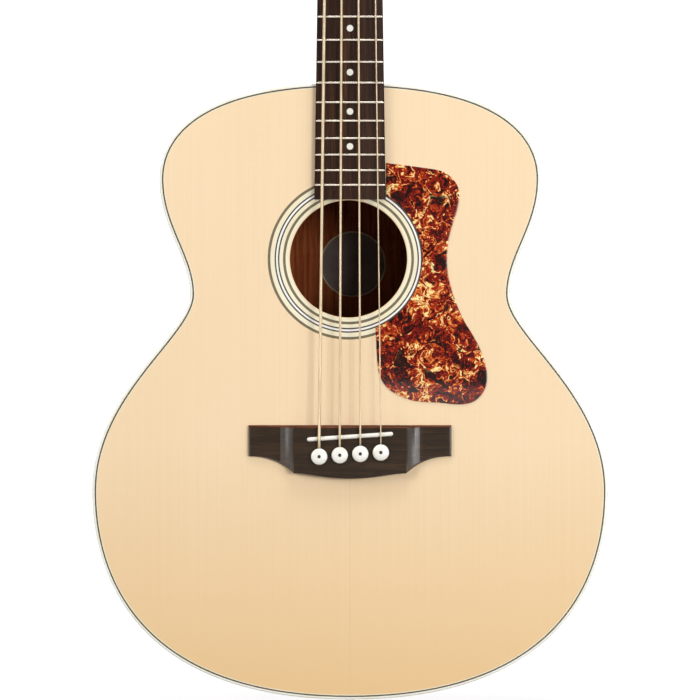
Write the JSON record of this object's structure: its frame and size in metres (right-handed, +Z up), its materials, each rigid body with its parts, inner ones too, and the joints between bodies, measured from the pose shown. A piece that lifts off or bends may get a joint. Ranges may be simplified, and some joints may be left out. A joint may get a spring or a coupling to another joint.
{
  "type": "acoustic bass guitar",
  "caption": "Jumbo-bodied flat-top acoustic bass guitar with geared tuners, pinned bridge, round soundhole and pickguard.",
  "frame": {"origin": "centre line at the nut, on the glue line between neck and fingerboard, where a hanger's yoke holds the neck under the headstock; the front of the soundboard lies in the plane y = 0", "axes": "+Z up the neck towards the headstock, +Y from the soundboard towards the back, +X towards the treble side"},
  "size_m": [0.433, 0.1405, 1.2186],
  "materials": {
    "spruce_top": "thin satin lacquer, fine straight grain, centre seam",
    "mahogany": "satin lacquer, open pored grain",
    "brace_wood": "bare sanded spruce",
    "plate_maple": "bare sanded maple",
    "rosewood": "oiled, dark lengthwise streaks",
    "ivory_plastic": "polished ivory-coloured plastic",
    "dark_line": "laminated dark lines with a pale line between",
    "bone_white": "polished",
    "tortoise_plastic": "polished tortoiseshell pattern, red, brown, amber and black",
    "label_paper": "bare aged paper",
    "rod_steel": "bare",
    "wound_bronze": "phosphor bronze wrap wire",
    "nickel": "nickel plate",
    "nut_brass": "turned"
  },
  "bodies": {
    "guitar": {"soundboard": "spruce_top", "rosette_inner_ring": "dark_line", "rosette_field": "ivory_plastic", "rosette_outer_ring": "dark_line", "pickguard": "tortoise_plastic", "back": "mahogany", "side_bass": "mahogany", "side_treble": "mahogany", "lining_top_bass": "brace_wood", "lining_top_treble": "brace_wood", "lining_back_bass": "brace_wood", "lining_back_treble": "brace_wood", "neck_block": "mahogany", "tail_block": "mahogany", "top_binding": "ivory_plastic", "top_purfling": "dark_line", "back_binding": "ivory_plastic", "cross_brace_treble": "brace_wood", "cross_brace_bass": "brace_wood", "transverse_brace": "brace_wood", "tone_bar_upper": "brace_wood", "tone_bar_lower": "brace_wood", "bridge_plate": "plate_maple", "paper_label": "label_paper", "bridge": "rosewood", "saddle": "bone_white", "neck": "mahogany", "heel_cap": "ivory_plastic", "heel_strap_button": "nickel", "tail_strap_button": "nickel", "truss_rod": "rod_steel", "headstock_veneer": "rosewood", "truss_rod_cover": "dark_line", "nut": "bone_white", "fingerboard": "rosewood", "string_e": "wound_bronze", "string_a": "wound_bronze", "string_d": "wound_bronze", "string_g": "wound_bronze", "tuner_base_e": "nickel", "tuner_base_a": "nickel", "tuner_base_d": "nickel", "tuner_base_g": "nickel", "tuner_bushing_e": "nickel", "tuner_bushing_a": "nickel", "tuner_bushing_d": "nickel", "tuner_bushing_g": "nickel"},
    "pin_e": {"bridge_pin_e": "bone_white"},
    "pin_a": {"bridge_pin_a": "bone_white"},
    "pin_d": {"bridge_pin_d": "bone_white"},
    "pin_g": {"bridge_pin_g": "bone_white"},
    "key_e": {"tuner_key_e": "nickel"},
    "key_a": {"tuner_key_a": "nickel"},
    "key_d": {"tuner_key_d": "nickel"},
    "key_g": {"tuner_key_g": "nickel"},
    "post_e": {"tuner_post_e": "nickel"},
    "post_a": {"tuner_post_a": "nickel"},
    "post_d": {"tuner_post_d": "nickel"},
    "post_g": {"tuner_post_g": "nickel"},
    "rod_nut": {"truss_rod_nut": "nut_brass"}
  },
  "joints": [
    {"name": "key_e_turn", "type": "hinge", "parent": "guitar", "child": "key_e", "pos_m": [-0.024, 0.03237, 0.04985], "axis": [1, 0, 0], "continuous": true},
    {"name": "key_a_turn", "type": "hinge", "parent": "guitar", "child": "key_a", "pos_m": [-0.024, 0.05027, 0.12165], "axis": [1, 0, 0], "continuous": true},
    {"name": "key_d_turn", "type": "hinge", "parent": "guitar", "child": "key_d", "pos_m": [0.024, 0.05027, 0.12165], "axis": [1, 0, 0], "continuous": true},
    {"name": "key_g_turn", "type": "hinge", "parent": "guitar", "child": "key_g", "pos_m": [0.024, 0.03237, 0.04985], "axis": [1, 0, 0], "continuous": true},
    {"name": "post_e_turn", "type": "hinge", "parent": "guitar", "child": "post_e", "pos_m": [-0.024, 0.01452, 0.06422], "axis": [0, 0.9703, -0.2419], "continuous": true},
    {"name": "post_a_turn", "type": "hinge", "parent": "guitar", "child": "post_a", "pos_m": [-0.024, 0.03242, 0.13602], "axis": [0, 0.9703, -0.2419], "continuous": true},
    {"name": "post_d_turn", "type": "hinge", "parent": "guitar", "child": "post_d", "pos_m": [0.024, 0.03242, 0.13602], "axis": [0, 0.9703, -0.2419], "continuous": true},
    {"name": "post_g_turn", "type": "hinge", "parent": "guitar", "child": "post_g", "pos_m": [0.024, 0.01452, 0.06422], "axis": [0, 0.9703, -0.2419], "continuous": true},
    {"name": "pin_e_pull", "type": "slide", "parent": "guitar", "child": "pin_e", "axis": [0, -1, 0], "range_m": [0, 0.032]},
    {"name": "pin_a_pull", "type": "slide", "parent": "guitar", "child": "pin_a", "axis": [0, -1, 0], "range_m": [0, 0.032]},
    {"name": "pin_d_pull", "type": "slide", "parent": "guitar", "child": "pin_d", "axis": [0, -1, 0], "range_m": [0, 0.032]},
    {"name": "pin_g_pull", "type": "slide", "parent": "guitar", "child": "pin_g", "axis": [0, -1, 0], "range_m": [0, 0.032]},
    {"name": "rod_nut_turn", "type": "hinge", "parent": "guitar", "child": "rod_nut", "pos_m": [0, 0.005, 0.012], "axis": [0, 0, 1], "range_deg": [-180, 180]}
  ],
  "couplings": [
    {"joint": "post_e_turn", "follows": "key_e_turn", "ratio": -0.0625},
    {"joint": "post_a_turn", "follows": "key_a_turn", "ratio": -0.0625},
    {"joint": "post_d_turn", "follows": "key_d_turn", "ratio": 0.0625},
    {"joint": "post_g_turn", "follows": "key_g_turn", "ratio": 0.0625}
  ]
}
